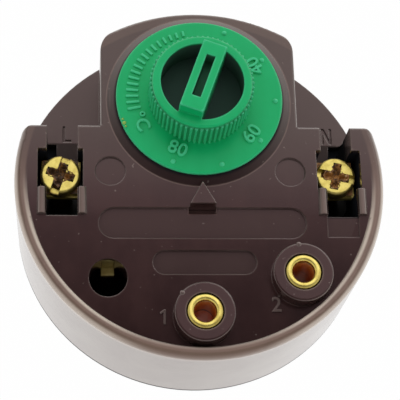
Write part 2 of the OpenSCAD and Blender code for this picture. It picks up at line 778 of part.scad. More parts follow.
module adjusting_spindle() color([0.8, 0.66, 0.35]) rotate([0, 0, -bar_lean]) difference() {
    union() {
        translate([0, 0, nut_under]) cylinder(r = spindle_r, h = cup_floor - 1.4 - nut_under);
        translate([0, 0, carrier_top + 0.05]) cylinder(r = collar_r, h = collar_t);
    }
    translate([-spindle_r - 1, spindle_r * 0.7, hub_end])
        cube([2 * spindle_r + 2, spindle_r, head_h]);
}

module spindle_carrier() color([0.75, 0.75, 0.73]) difference() {
    union() {
        translate([-carrier_l / 2, -carrier_w / 2, carrier_under])
            cube([carrier_l, carrier_w, carrier_t]);
        // Legs that keep the nut from turning
        both_sides() translate([nut_w / 2 + 0.1, -leg_w / 2, nut_under - 0.8])
            cube([carrier_t, leg_w, carrier_top - nut_under + 0.8]);
    }
    translate([0, 0, carrier_under - 1]) cylinder(r = spindle_r + fit, h = carrier_t + 2);
    both_sides() translate([carrier_screw_x, 0, carrier_under - 1])
        cylinder(r = carrier_screw_r + 0.3, h = carrier_t + 2);
}

module carrier_screws() color([0.72, 0.72, 0.7])
    both_sides() translate([carrier_screw_x, 0, 0]) {
        translate([0, 0, carrier_under - 1.4]) cylinder(r = carrier_screw_head_r, h = 1.4);
        translate([0, 0, carrier_under - 1])
            cylinder(r = carrier_screw_r - fit, h = 1 + carrier_t + carrier_screw_out);
    }

module setting_nut() color([0.8, 0.66, 0.35]) difference() {
    union() {
        translate([-nut_w / 2, -nut_w / 2, nut_under]) cube([nut_w, nut_w, nut_h]);
        // Cheeks that carry the lever's pivot pin
        both_sides() translate([cheek_in, -pivot_off - cheek_w / 2, pivot_z - pivot_r - 0.6])
            cube([cheek_t, cheek_w, nut_under - pivot_z + pivot_r + 0.6 + eps]);
    }
    translate([0, 0, nut_under - 1]) cylinder(r = spindle_r + fit, h = nut_h + 2);
    translate([-nut_w, -pivot_off, pivot_z]) rotate([0, 90, 0])
        cylinder(r = pivot_r + 0.02, h = 2 * nut_w, $fn = 48);
}

module pivot_pin() color([0.7, 0.7, 0.7])
    translate([-cheek_in - cheek_t, -pivot_off, pivot_z]) rotate([0, 90, 0])
        cylinder(r = pivot_r, h = 2 * (cheek_in + cheek_t), $fn = 48);

module setting_lever() color([0.7, 0.71, 0.72]) difference() {
    union() {
        translate([-lever_w / 2, pusher_y - 2, lever_under])
            cube([lever_w, lever_arm + 2 + pivot_off + spindle_r, lever_t]);
        translate([-lever_w / 2, -pivot_off, pivot_z]) rotate([0, 90, 0])
            cylinder(r = pivot_r + 0.6, h = lever_w, $fn = 48);
    }
    translate([-nut_w, -pivot_off, pivot_z]) rotate([0, 90, 0])
        cylinder(r = pivot_r + fit, h = 2 * nut_w, $fn = 48);
    translate([0, pusher_y, lever_under - 1])
        cylinder(r = pusher_pin_r + 0.02, h = lever_t + 2, $fn = 48);
}

module contact_pusher() color([0.93, 0.91, 0.85]) translate([0, pusher_y, 0]) {
    translate([0, 0, blade_top + 0.15]) cylinder(r = pusher_r, h = lever_under - blade_top - 0.15);
    translate([0, 0, lever_under - eps]) cylinder(r = pusher_pin_r, h = lever_t + 0.3, $fn = 48);
    translate([0, 0, lever_top]) cylinder(r = pusher_r, h = 0.6);
}

// Contacts

module contact_blade() color([0.78, 0.55, 0.3]) difference() {
    translate([rivet_x - 1.6, pusher_y - blade_w / 2, blade_under])
        cube([1.6 - rivet_x + 2, blade_w, blade_t]);
    translate([rivet_x, pusher_y, blade_under - 1]) cylinder(r = rivet_r + 0.02, h = 3, $fn = 48);
    translate([0, pusher_y, blade_under - 1]) cylinder(r = contact_pin_r + 0.02, h = 3, $fn = 48);
}

module blade_rivet() color([0.8, 0.66, 0.35]) translate([rivet_x, pusher_y, 0]) {
    translate([0, 0, blade_top]) cylinder(r = rivet_head_r, h = rivet_head_t);
    translate([0, 0, bar_top - bar_t - 0.1])
        cylinder(r = rivet_r, h = blade_top - bar_top + bar_t + 0.1 + eps, $fn = 48);
    translate([0, 0, bar_top - bar_t - 0.1 - rivet_head_t])
        cylinder(r = rivet_head_r, h = rivet_head_t);
}

module moving_contact() color([0.86, 0.86, 0.84]) translate([0, pusher_y, 0]) {
    translate([0, 0, blade_under - button_t]) cylinder(r = contact_r, h = button_t);
    translate([0, 0, blade_under - eps]) cylinder(r = contact_pin_r, h = blade_t + eps, $fn = 48);
}

module fixed_contact() color([0.86, 0.86, 0.84]) translate([0, pusher_y, 0]) {
    translate([0, 0, strip_top])
        cylinder(r = contact_r, h = blade_under - button_t - 0.05 - strip_top);
    translate([0, 0, strip_top - strip_t]) cylinder(r = contact_pin_r, h = strip_t + eps, $fn = 48);
}

module contact_strip() color([0.8, 0.66, 0.35]) difference() {
    union() {
        translate([-2.6, -stem_off - socket_pcr, strip_top - strip_t])
            cube([5.2, socket_pcr + stem_off + pusher_y + 2.2, strip_t]);
        at_head() translate([socket_1_at[0], socket_1_at[1], strip_top - strip_t])
            cylinder(r = socket_r + 1.4, h = strip_t);
    }
    at_head() translate([socket_1_at[0], socket_1_at[1], 0]) cylinder(r = socket_r + 0.02, h = 20);
    translate([0, pusher_y, 0]) cylinder(r = contact_pin_r + 0.02, h = 20, $fn = 48);
}

// Terminals

module bar_pad() {
    difference() {
        at_head() translate([term_x - pad_w / 2, term_y + pad_y0, bar_top - bar_t])
            cube([pad_w, pad_l, bar_t]);
        at_head() translate([term_x, term_y, 0]) cylinder(r = screw_r + fit, h = 20);
    }
}

module terminal_bar_L() color([0.8, 0.66, 0.35]) difference() {
    union() {
        mirror([1, 0, 0]) bar_pad();
        // Arm to the contact blade
        at_head() translate([-arm_x0 - 1, term_y + pad_y0, bar_top - bar_t])
            cube([arm_x0 + 1 + rivet_x + 1.2, arm_w, bar_t]);
        // Tab that rises to the spare plug hole
        at_head() translate([spare_at[0] - tab_w / 2, spare_at[1], 0]) {
            translate([0, tab_back, bar_top - bar_t])
                cube([tab_w, term_y + pad_y0 - spare_at[1] - tab_back + 1, bar_t]);
            translate([0, tab_back, bar_top - bar_t])
                cube([tab_w, tab_t, tab_shelf - bar_top + bar_t]);
            translate([0, tab_y0 - tab_reach, tab_shelf - tab_t])
                cube([tab_w, tab_back - tab_y0 + tab_t + tab_reach, tab_t]);
            translate([0, tab_y0, tab_shelf - tab_t]) cube([tab_w, tab_t, tab_top - tab_shelf + tab_t]);
        }
    }
    translate([rivet_x, pusher_y, 0]) cylinder(r = rivet_r + 0.12, h = 20, $fn = 48);
}

module terminal_bar_N() color([0.8, 0.66, 0.35]) difference() {
    union() {
        bar_pad();
        // Arm to the second socket
        at_head() translate([0, 0, bar_top - bar_t]) linear_extrude(bar_t)
            polygon([[arm_x0, term_y + pad_y0 + 0.5], [arm_x0 + arm_w2, term_y + pad_y0 + 0.5],
                     [socket_2_at[0] + arm_w2 / 2, socket_2_at[1]],
                     [socket_2_at[0] - arm_w2 / 2, socket_2_at[1]]]);
        at_head() translate([socket_2_at[0], socket_2_at[1], bar_top - bar_t])
            cylinder(r = socket_r + 1.2, h = bar_t);
    }
    at_head() translate([socket_2_at[0], socket_2_at[1], 0]) cylinder(r = socket_r + 0.02, h = 20);
}

module clamp_plate() difference() {
    at_head() translate([term_x, term_y, 0]) rotate([0, 0, clamp_turn]) {
        translate([-clamp_w / 2, -clamp_l / 2, clamp_top - clamp_t])
            cube([clamp_w, clamp_l, clamp_t]);
        for (x = [-clamp_w / 2, clamp_w / 2 - lip_t])
            translate([x, clamp_l / 2 - lip_l, clamp_top - clamp_t - lip_h])
                cube([lip_t, lip_l, lip_h + eps]);
    }
    at_head() translate([term_x, term_y, 0]) cylinder(r = screw_r + 0.08, h = 40);
}

// Screw with a driver slot and a cross recess, its head turned by an angle
module terminal_screw(turn) at_head() translate([term_x, term_y, 0]) difference() {
    union() {
        translate([0, 0, clamp_top + 0.02]) rounded_disc(screw_head_r, screw_head_t - 0.02, 0.5);
        translate([0, 0, screw_tip]) cylinder(r = screw_r, h = clamp_top - screw_tip + 0.5);
    }
    rotate([0, 0, turn]) translate([-screw_head_r - 1, -screw_slot_w / 2, screw_top - screw_slot_d])
        cube([2 * screw_head_r + 2, screw_slot_w, 2]);
    rotate([0, 0, turn]) for (a = [0, 90]) rotate([0, 0, a])
        translate([-cross_l / 2, -cross_w / 2, screw_top - cross_d])
            cube([cross_l, cross_w, 3]);
}

module clamp_plate_L() color([0.8, 0.66, 0.35]) mirror([1, 0, 0]) clamp_plate();
module clamp_plate_N() color([0.8, 0.66, 0.35]) clamp_plate();
module terminal_screw_L() color([0.85, 0.72, 0.4]) mirror([1, 0, 0]) terminal_screw(108);
module terminal_screw_N() color([0.85, 0.72, 0.4]) terminal_screw(-12);

// Sockets

// A turned brass sleeve, its seat resting on the bar or strip under it
module socket(seat_z) difference() {
    union() {
        translate([0, 0, socket_end]) rounded_disc(socket_r, boss_top + 0.2 - socket_end, 0.6);
        translate([0, 0, seat_z]) cylinder(r = socket_r + 0.8, h = 0.8);
    }
    translate([0, 0, -1]) cylinder(r = socket_bore_r, h = 50);
    rotate_extrude() translate([socket_bore_r, boss_top + 0.2]) mirror([1, 0]) edge_outline(lip_r);
}

module socket_1() color([0.85, 0.7, 0.38]) at_head()
    translate([socket_1_at[0], socket_1_at[1], 0]) socket(strip_top);
module socket_2() color([0.85, 0.7, 0.38]) at_head()
    translate([socket_2_at[0], socket_2_at[1], 0]) socket(bar_top);

// Stem

module stem_tube() color([0.78, 0.6, 0.36]) difference() {
    union() {
        translate([0, 0, -stem_l + 2]) cylinder(r = stem_r, h = stem_l - 2);
        cylinder(r = spigot_r, h = spigot_l);
    }
    translate([0, 0, -stem_l]) cylinder(r = stem_r - stem_wall, h = stem_l + spigot_l + 1);
}

module stem_tip() color([0.78, 0.6, 0.36]) union() {
    translate([0, 0, -stem_l + 2]) mirror([0, 0, 1]) rounded_disc(stem_r, 2, 0.8);
    translate([0, 0, -stem_l + 1.9]) cylinder(r = stem_r - stem_wall - 0.02, h = 3.1);
}

module stem_bush() color([0.8, 0.66, 0.35]) difference() {
    union() {
        translate([0, 0, 0.3]) cylinder(r = bush_r, h = cover_t);
        translate([0, 0, cover_t]) cylinder(r = bush_flange_r, h = bush_flange_t);
    }
    translate([0, 0, -1]) cylinder(r = spigot_r + 0.02, h = 1 + spigot_l);
    translate([0, 0, 0]) cylinder(r = stem_r - stem_wall, h = 10);
}

module stem_lock_ring() color([0.72, 0.72, 0.7]) difference() {
    translate([0, 0, 0.1]) cylinder(r = bush_flange_r, h = lock_depth - 0.1);
    translate([0, 0, -1]) cylinder(r = bush_r + 0.02, h = 5);
}

module inner_rod() color([0.66, 0.67, 0.68]) union() {
    translate([0, 0, -stem_l + 5.15]) cylinder(r = rod_r, h = stem_l - 5.15 + rod_tip - 1);
    translate([0, 0, rod_tip - 1 - eps]) cylinder(r = 0.7, h = 1 + eps, $fn = 48);
}

front_housing();
rear_cover();
cover_screws();
dial_knob();
adjusting_spindle();
spindle_carrier();
carrier_screws();
setting_nut();
pivot_pin();
setting_lever();
contact_pusher();
contact_blade();
blade_rivet();
moving_contact();
fixed_contact();
contact_strip();
terminal_bar_L();
terminal_bar_N();
clamp_plate_L();
clamp_plate_N();
terminal_screw_L();
terminal_screw_N();
socket_1();
socket_2();
stem_tube();
stem_tip();
stem_bush();
stem_lock_ring();
inner_rod();
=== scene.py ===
"""A plug-in rod thermostat for a water heater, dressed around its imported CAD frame."""

import math

import bmesh
import bpy
from mathutils import Matrix, Quaternion, Vector, noise as lumps


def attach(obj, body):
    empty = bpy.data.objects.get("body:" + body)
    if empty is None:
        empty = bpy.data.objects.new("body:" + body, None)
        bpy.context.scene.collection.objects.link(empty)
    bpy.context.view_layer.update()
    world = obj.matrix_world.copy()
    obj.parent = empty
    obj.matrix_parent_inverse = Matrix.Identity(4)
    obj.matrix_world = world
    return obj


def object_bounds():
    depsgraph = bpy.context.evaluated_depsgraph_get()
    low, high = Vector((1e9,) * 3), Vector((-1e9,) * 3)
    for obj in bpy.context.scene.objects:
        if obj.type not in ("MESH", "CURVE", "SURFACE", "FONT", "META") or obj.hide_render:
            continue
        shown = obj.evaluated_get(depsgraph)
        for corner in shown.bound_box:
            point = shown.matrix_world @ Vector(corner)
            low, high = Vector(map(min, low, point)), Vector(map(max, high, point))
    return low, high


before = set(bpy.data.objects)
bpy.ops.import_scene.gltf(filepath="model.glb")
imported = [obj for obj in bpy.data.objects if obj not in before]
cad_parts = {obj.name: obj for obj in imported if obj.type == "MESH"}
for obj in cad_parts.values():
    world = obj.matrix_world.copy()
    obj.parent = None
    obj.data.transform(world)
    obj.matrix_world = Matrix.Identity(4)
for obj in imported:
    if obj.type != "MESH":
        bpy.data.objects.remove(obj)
cad_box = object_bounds()
mm = 0.001


# Front housing
# One deep moulding in glossy brown thermoset, pressed against polished steel, so its faces
# are smooth with faint flow marks, its edges are slightly round and its wall mirrors the floor.

head_axis = (0.0, -14.3 * mm)
rim_height = 21.0 * mm

# The face slopes down from here towards the plug sockets.
slope_y = -17.3 * mm
slope_length = 25.9 * mm
slope_drop = 3.0 * mm
slope_angle = math.atan2(slope_drop, slope_length)

BROWN = (0.018, 0.0065, 0.006)
BROWN_LIGHT = (0.029, 0.012, 0.0108)
# Pale brown of the edges: part wear, part painted highlight.
BROWN_EDGE_WEAR_AND_SHEEN = (0.2, 0.15, 0.12)
BROWN_GLOSS = (1.0, 0.62, 0.65)
POLISH = (0.97, 0.9, 0.83)
POLISH_DULL = (0.86, 0.79, 0.75)
UNLIT = (0.012, 0.013, 0.016)


class Shade:
    """A socket among a material's nodes. Arithmetic adds Math nodes, node() adds any other."""

    def __init__(self, tree, socket=None):
        self.tree = tree
        self.socket = socket

    def node(self, kind, settings=(), sockets=(), out=0):
        made = self.tree.nodes.new("ShaderNode" + kind)
        for name, value in dict(settings).items():
            setattr(made, name, value)
        for name, value in dict(sockets).items():
            if isinstance(value, Shade):
                self.tree.links.new(value.socket, made.inputs[name])
            else:
                made.inputs[name].default_value = value
        return Shade(self.tree, made.outputs[out])

    def math(self, operation, first, second=0.0):
        return self.node("Math", {"operation": operation}, {0: first, 1: second})

    def __add__(self, other):
        return self.math("ADD", self, other)

    def __sub__(self, other):
        return self.math("SUBTRACT", self, other)

    def __rsub__(self, other):
        return self.math("SUBTRACT", other, self)

    def __mul__(self, other):
        return self.math("MULTIPLY", self, other)

    def __pow__(self, other):
        return self.math("POWER", self, other)

    def __abs__(self):
        return self.math("ABSOLUTE", self)

    __radd__ = __add__
    __rmul__ = __mul__

    def ease(self, start, end):
        """0 before start, 1 after end, smooth in between."""
        return self.node("MapRange", {"interpolation_type": "SMOOTHSTEP"},
                         {"Value": self, "From Min": start, "From Max": end})

    def mix(self, first, second):
        """The colour first where this is 0, second where it is 1."""
        ends = [c if isinstance(c, Shade) else (*c, 1.0) for c in (first, second)]
        return self.node("Mix", {"data_type": "RGBA"},
                         {"Factor": self, 6: ends[0], 7: ends[1]}, out=2)


def new_material(name):
    made = bpy.data.materials.new(name)
    made.use_nodes = True
    made.node_tree.nodes.clear()
    return made, Shade(made.node_tree)


def output(shade, shader, kind="Material"):
    end = shade.tree.nodes.new("ShaderNodeOutput" + kind)
    shade.tree.links.new(shader.socket, end.inputs["Surface"])


def dress(node, made):
    """Gives a CAD node its finish."""
    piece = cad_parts[node]
    piece.data.materials.clear()
    piece.data.materials.append(made)


def place_of(shade):
    """The point being shaded, in the part's own frame, and its three coordinates."""
    point = shade.node("TexCoord", out=3)
    return point, [shade.node("SeparateXYZ", sockets={0: point}, out=i) for i in range(3)]


def noise(shade, point, scale, detail=3.0, roughness=0.55):
    """Clouds in the part's frame, with about scale of them in a metre."""
    return shade.node("TexNoise", sockets={"Vector": point, "Scale": scale, "Detail": detail,
                                           "Roughness": roughness})


def relief(shade, height, strength, depth, edge=0.0, samples=4):
    """Fine relief on a surface whose edges look rounded to the radius edge."""
    sockets = {"Strength": strength, "Distance": depth, "Height": height}
    if edge:
        sockets["Normal"] = shade.node("Bevel", {"samples": samples}, {"Radius": edge})
    return shade.node("Bump", sockets=sockets)


def moulded(name, colour, tint, rough, shine, edge, mirror, gloss=BROWN_GLOSS, edge_wear_and_sheen=None,
            pale_edge_reach=None, shadow=None, dark=UNLIT, layers=()):
    """A moulded plastic: flow marks, fine orange peel, soft edges, a mirror at low angles.

    Its outer edges take a pale colour, part real wear and part painted highlight, as far as
    the edge reach goes; each layer is a place and the colour it takes there; and where shadow
    is 1 the surface is painted shade, a dull dark diffuse.
    """
    made, shade = new_material(name)
    point, places = place_of(shade)
    cloud = noise(shade, point, 160.0, 4.0)
    peel = noise(shade, point, 5200.0, 2.0)
    stretched = shade.node("Mapping", sockets={"Vector": point, "Scale": (300.0, 70.0, 300.0)})
    flow = noise(shade, stretched, 1.0, 2.0)
    paint = (cloud * 0.6 + flow * 0.4).ease(0.35, 0.65).mix(colour, tint)
    # Painted highlight and wear: outer edges, found by ambient occlusion, turn pale.
    if edge_wear_and_sheen:
        inside = shade.node("AmbientOcclusion", {"inside": True, "only_local": True,
                                                 "samples": 8}, {"Distance": 0.6 * mm}, out=1)
        edge_paleness = (1 - inside).ease(0.2, 0.5) * (0.6 + 0.6 * cloud)
        paint = (edge_paleness * pale_edge_reach(*places) if pale_edge_reach else edge_paleness).mix(paint, edge_wear_and_sheen)
    for place, stain in layers:
        paint = (place(*places) * (0.6 + 0.8 * cloud)).mix(paint, stain)
    surface = relief(shade, peel + flow * 2.0, 0.12, 0.02 * mm, edge, samples=6)
    body = shade.node("BsdfPrincipled", sockets={
        "Base Color": paint, "Roughness": rough + 0.12 * cloud, "IOR": 1.5,
        "Specular IOR Level": shine, "Specular Tint": (*gloss, 1.0), "Normal": surface})
    polish = shade.node("BsdfPrincipled", sockets={
        "Base Color": (cloud.ease(0.3, 0.7) * 0.5 + flow * 0.5).mix(POLISH, POLISH_DULL),
        "Metallic": 1.0, "Roughness": 0.16, "Normal": surface})
    facing = shade.node("LayerWeight", sockets={"Blend": 0.5, "Normal": surface}, out=1)
    finish = shade.node("MixShader", sockets={0: mirror * facing ** 1.5, 1: body, 2: polish})
    # Painted shade: where shadow is 1, a dull dark diffuse takes over.
    if shadow:
        darker = shade.node("BsdfDiffuse", sockets={"Color": (*dark, 1.0)})
        finish = shade.node("MixShader", sockets={0: shadow(*places), 1: finish, 2: darker})
    output(shade, finish)
    return made


def above(shade, low, high):
    """0 below low and 1 above high, in millimetres."""
    return shade.ease(low * mm, high * mm)


def below(shade, low, high):
    """1 below low and 0 above high, in millimetres."""
    return 1 - above(shade, low, high)


def between(shade, low, high, soft=0.05):
    """1 where a coordinate lies between two values in millimetres."""
    return above(shade, low - soft, low + soft) * below(shade, high - soft, high + soft)


def highest(*shades):
    best = shades[0]
    for other in shades[1:]:
        best = best.math("MAXIMUM", best, other)
    return best


def distance(x, y, axis=(0.0, 0.0)):
    """How far a point lies from an upright axis, which is the dial's if none is given."""
    return ((x - axis[0]) ** 2.0 + (y - axis[1]) ** 2.0) ** 0.5


def side_box(x, y, z, wide, long, fade, shift=0.0):
    """1 in a box at each side of the head, open below, fading out with height.

    wide, long and fade are its reach along x, y and z, in millimetres.
    """
    return between(abs(x - shift * mm), *wide) * between(y, *long) * below(z, *fade)


def housing_pale_edges(x, y, z):
    """Pale edges, part wear and part painted highlight: most on rim, block, ears, bosses."""
    rim = above(distance(x, y, head_axis), 28.4, 28.7)
    block = above(y, -10.0, -9.6)
    bosses = above(z, 21.2, 21.5) * below(y, -24.5, -23.5)
    # Marks in the face get a little of the pale edges too.
    return 0.12 + 0.7 * highest(rim, block, bosses)


def housing_shadow(x, y, z):
    """Painted shade in screw pockets and round the dial's foot; a dark band low on the wall."""
    clamp = side_box(x, y, z, (19.5, 27.3), (-16.15, -8.85), (19.3, 20.9))
    wire_end = side_box(x, y, z, (20.6, 26.2), (-21.05, -15.9), (19.8, 20.75), shift=0.3)
    ramp_wall = side_box(x, y, z, (25.5, 25.9), (-9.1, -4.6), (14.0, 22.0))
    ramp_corner = side_box(x, y, z, (24.1, 27.3), (-9.1, -1.3), (7.6, 8.6))
    out = distance(x, y)
    under_dial = 0.6 * below(out, 14.2, 14.7) + 0.25 * below(out, 15.45, 15.7)
    dark_band = 0.85 * below(z, 0.3, 0.75)
    return highest(clamp, wire_end, ramp_wall, ramp_corner, dark_band, under_dial)


def wire_ramps(x, y, z):
    """The two ramps down to the clamps, painted a paler grey."""
    return side_box(x, y, z, (20.4, 25.8), (-9.2, -2.75), (8.7, 9.5))


def upper_face_sheen(x, y, z):
    """Painted sheen: the tops towards the dial's end drawn lighter, as they mirror the lamp."""
    return above(y, -19.0, 1.0)


def guard_top_sheen(x, y, z):
    """Painted sheen on the tops of the two low walls beside each clamp."""
    return above(abs(x), 15.0, 15.2) * above(z, 21.15, 21.4) * above(y, -23.0, -22.5)


def mark_floor_sheen(x, y, z):
    """Painted sheen on the shallow marks' floors in the slope, which the mould left rougher."""
    fallen = y.math("MAXIMUM", slope_y - y, 0.0) * math.tan(slope_angle)
    sunk = rim_height - fallen - z
    return above(sunk, 0.3, 0.4) * below(sunk, 0.65, 0.75) \
        * below(distance(x, y, head_axis), 26.8, 27.0) * below(y, -19.4, -19.2)


def pointer_notch(x, y, z):
    """The narrow slot in front of the pointer, painted a lighter brown."""
    return between(x, -2.3, 2.5) * between(y, -20.4, -19.3) * below(z, 20.0, 20.6)


def plinth_highlight(x, y, z):
    """Painted highlight where the foot of the slope round the dial catches the light."""
    return 0.7 * between(distance(x, y), 15.6, 15.85) * above(z, 20.9, 20.95)


def specks(x, y, z):
    """Small pale specks, knocks and dust that stuck."""
    point = x.node("CombineXYZ", sockets={0: x, 1: y, 2: z})
    return 0.7 * noise(x, point, 1300.0, 1.0).ease(0.745, 0.79)


def rim_top_sheen(x, y, z):
    """Painted sheen on the rim, lighter brown and grey, more so at the plug's end."""
    return above(distance(x, y, head_axis), 28.9, 29.4) * above(z, 18.6, 19.8) \
        * (1 - 0.75 * above(y, -20.0, -6.0))


def rim_edge_highlights(x, y, z):
    """Painted highlights on the rim's two edges, least at the middle of the plug's end."""
    out = distance(x, y, head_axis)
    aside = (x ** 2.0).ease((5.0 * mm) ** 2, (18.0 * mm) ** 2)
    inner = above(out, 28.75, 28.95) * below(out, 29.3, 29.7) \
        * (0.25 + 0.75 * aside) * below(y, -24.0, -12.0)
    outer = above(out, 30.2, 30.7) * above(z, 19.4, 20.0) \
        * (0.1 + 0.9 * aside) * below(y, -20.0, -4.0)
    return highest(inner, outer) * above(z, 17.0, 18.0)


dress("front_housing", moulded(
    "brown_moulding", BROWN, BROWN_LIGHT, rough=0.15, shine=0.42, edge=0.25 * mm, mirror=0.62,
    edge_wear_and_sheen=BROWN_EDGE_WEAR_AND_SHEEN, pale_edge_reach=housing_pale_edges, shadow=housing_shadow,
    layers=((wire_ramps, (0.075, 0.068, 0.07)),
            (upper_face_sheen, (0.056, 0.043, 0.037)),
            (guard_top_sheen, (0.13, 0.094, 0.078)),
            (mark_floor_sheen, (0.042, 0.025, 0.023)),
            (pointer_notch, (0.11, 0.06, 0.055)),
            (plinth_highlight, (0.14, 0.1, 0.085)),
            (specks, (0.16, 0.13, 0.115)),
            (rim_top_sheen, (0.19, 0.13, 0.1)),
            (rim_edge_highlights, (0.56, 0.48, 0.4)))))


# Plug numbers and mould nubs
# The numbers 1 and 2 stand beside the sockets, raised in one with the brown face. Two small
# nubs on the rims of the sockets' bosses were left by the mould.

socket_axes = {"socket_1": (0.0, -37.6 * mm), "socket_2": (16.3 * mm, -30.95 * mm)}
number_height = 2.5 * mm
number_relief = 0.3 * mm
boss_height = 22.0 * mm
nub_reach = 4.75 * mm


def new_object(name, data):
    made = bpy.data.objects.new(name, data)
    bpy.context.scene.collection.objects.link(made)
    return made


def new_mesh(name, shape):
    """A mesh from a bmesh, which is used up."""
    made = bpy.data.meshes.new(name)
    shape.to_mesh(made)
    shape.free()
    return made


def add_piece(name, mesh, body, made):
    """Adds a piece that isn't in the CAD and moves with one of its bodies."""
    mesh.materials.clear()
    mesh.materials.append(made)
    piece = new_object(name, mesh)
    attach(piece, body)


def joined(name, meshes):
    """Several meshes as one."""
    whole = bmesh.new()
    for mesh in meshes:
        whole.from_mesh(mesh)
    return new_mesh(name, whole)


def raised_text(name, words, height, thick):
    """Words as a solid of their own, centred on the origin, its foot at z = 0."""
    digit_share = 0.73
    curve = bpy.data.curves.new(name, "FONT")
    curve.body = words
    curve.align_x = "CENTER"
    curve.align_y = "CENTER"
    curve.size = height / digit_share
    curve.extrude = thick / 2
    curve.bevel_depth = 0.06 * mm
    curve.bevel_resolution = 2
    curve.resolution_u = 6
    text = new_object(name, curve)
    bpy.context.view_layer.update()
    mesh = bpy.data.meshes.new_from_object(text)
    bpy.data.objects.remove(text)
    mesh.transform(Matrix.Translation((0, 0, thick / 2)))
    return mesh


def stroke(long, wide, thick):
    """A raised line with soft edges, along y from the origin."""
    shape = bmesh.new()
    bmesh.ops.create_cube(shape, size=1.0)
    bmesh.ops.scale(shape, vec=(wide, long, thick), verts=shape.verts)
    bmesh.ops.translate(shape, vec=(0.0, long / 2, thick / 2), verts=shape.verts)
    bmesh.ops.bevel(shape, geom=list(shape.edges), offset=0.08 * mm, segments=2,
                    profile=0.5, affect="EDGES")
    return new_mesh("stroke", shape)


def pip(name, radius, height):
    """A low round pip."""
    shape = bmesh.new()
    bmesh.ops.create_uvsphere(shape, u_segments=20, v_segments=10, radius=radius)
    bmesh.ops.delete(shape, geom=[v for v in shape.verts if v.co.z < -0.1 * radius],
                     context="VERTS")
    bmesh.ops.scale(shape, vec=(1.0, 1.0, height / radius), verts=shape.verts)
    bmesh.ops.holes_fill(shape, edges=[e for e in shape.edges if e.is_boundary])
    return new_mesh(name, shape)


def number_one():
    """A 1 with its flag, as large as the other number."""
    upright = stroke(number_height, 0.42 * mm, number_relief)
    upright.transform(Matrix.Translation((0, -number_height / 2, 0)))
    flag = stroke(1.0 * mm, 0.36 * mm, number_relief)
    flag.transform(Matrix.Translation((0.05 * mm, 1.15 * mm, 0)) @ Matrix.Rotation(2.2, 4, "Z"))
    return joined("number_one", (upright, flag))


def on_face(mesh, x, y, rooted=0.06 * mm):
    """Lays a mesh on the sloping face, rooted a little in it."""
    height = rim_height - max(0.0, slope_y - y) * math.tan(slope_angle)
    mesh.transform(Matrix.Translation((x, y, height - rooted))
                   @ Matrix.Rotation(slope_angle, 4, "X"))
    return mesh


def on_boss(mesh, socket, angle, rooted=0.1 * mm):
    """Sets a mesh on the rim of a socket's boss."""
    x, y = socket_axes[socket]
    a = math.radians(angle)
    mesh.transform(Matrix.Translation((x + nub_reach * math.cos(a), y + nub_reach * math.sin(a),
                                       boss_height - rooted)))
    return mesh


number_two = raised_text("plug_number", "2", number_height, number_relief)
plug_numbers = (on_face(number_one(), -6.35 * mm, -37.65 * mm),
                on_face(number_two, 12.0 * mm, -35.75 * mm))
nubs = [on_boss(pip("mould_nub", 0.45 * mm, 0.3 * mm), socket, angle)
        for socket, angle in (("socket_1", 140.0), ("socket_2", 97.0))]
# Their pale edges are part wear and part painted highlight.
brown_marks = moulded("brown_marks", BROWN, BROWN_LIGHT, rough=0.15, shine=0.42,
                      edge=0.1 * mm, mirror=0.6, edge_wear_and_sheen=(0.11, 0.082, 0.074))
add_piece("plug_numbers", joined("plug_numbers", plug_numbers), "head", brown_marks)
add_piece("mould_nubs", joined("mould_nubs", nubs), "head", brown_marks)


# Rear cover and its screws
# A flat disc of the same brown moulding, let into the back of the housing. Three zinc plated
# screws hold it there.

dress("rear_cover", moulded("brown_cover", BROWN, BROWN_LIGHT, rough=0.22, shine=0.5,
                            edge=0.2 * mm, mirror=0.45, edge_wear_and_sheen=BROWN_EDGE_WEAR_AND_SHEEN))


def metal(name, colour, darker, rough, stain=0.5, streaks=(400.0, 400.0, 400.0), metallic=1.0):
    """A plain metal: cloudy dull patches, fine streaks from drawing or turning."""
    made, shade = new_material(name)
    point, _ = place_of(shade)
    patch = noise(shade, point, 420.0, 4.0).ease(0.42, 0.68) * stain
    streak = noise(shade, shade.node("Mapping", sockets={"Vector": point, "Scale": streaks}), 1.0)
    output(shade, shade.node("BsdfPrincipled", sockets={
        "Base Color": patch.mix(colour, darker), "Metallic": metallic,
        "Roughness": rough + 0.18 * patch + 0.1 * streak,
        "Normal": relief(shade, streak, 0.15, 0.02 * mm, 0.15 * mm)}))
    return made


zinc = metal("zinc_plated_steel", (0.62, 0.62, 0.6), (0.42, 0.42, 0.4), 0.24)
dress("cover_screws", zinc)


# Dial knob
# One green moulding: a flat dial, a ribbed finger grip, and in the grip's hollow a cross bar
# with a slot for a screwdriver.

GREEN = (0.003, 0.43, 0.135)
GREEN_LIGHT = (0.006, 0.47, 0.155)
# Pale green of edges and raised marks: part wear, part painted highlight.
GREEN_EDGE_WEAR_AND_SHEEN = (0.06, 0.6, 0.28)
GREEN_GLOSS = (0.55, 1.0, 0.8)
GREEN_UNLIT = (0.06, 0.1, 0.085)
bar_lean = math.radians(20.0)


def grip_shade(x, y, z):
    """Painted shade on the half moons beside the cross bar, its slot and the grip's grooves."""
    along = abs(x * math.sin(bar_lean) + y * math.cos(bar_lean))
    aside = abs(x * math.cos(bar_lean) - y * math.sin(bar_lean))
    out = distance(x, y)
    moons = below(out, 6.98, 7.06) * above(aside, 2.02, 2.1) * below(z, 28.0, 28.6)
    slot = below(aside, 0.75, 0.8) * below(along, 3.95, 4.0) * below(z, 30.4, 30.8)
    grooves = above(out, 8.0, 8.1) * below(out, 8.4, 8.66) \
        * above(z, 22.9, 23.2) * below(z, 28.0, 28.3)
    return highest(moons, 0.75 * slot, 0.3 * grooves)


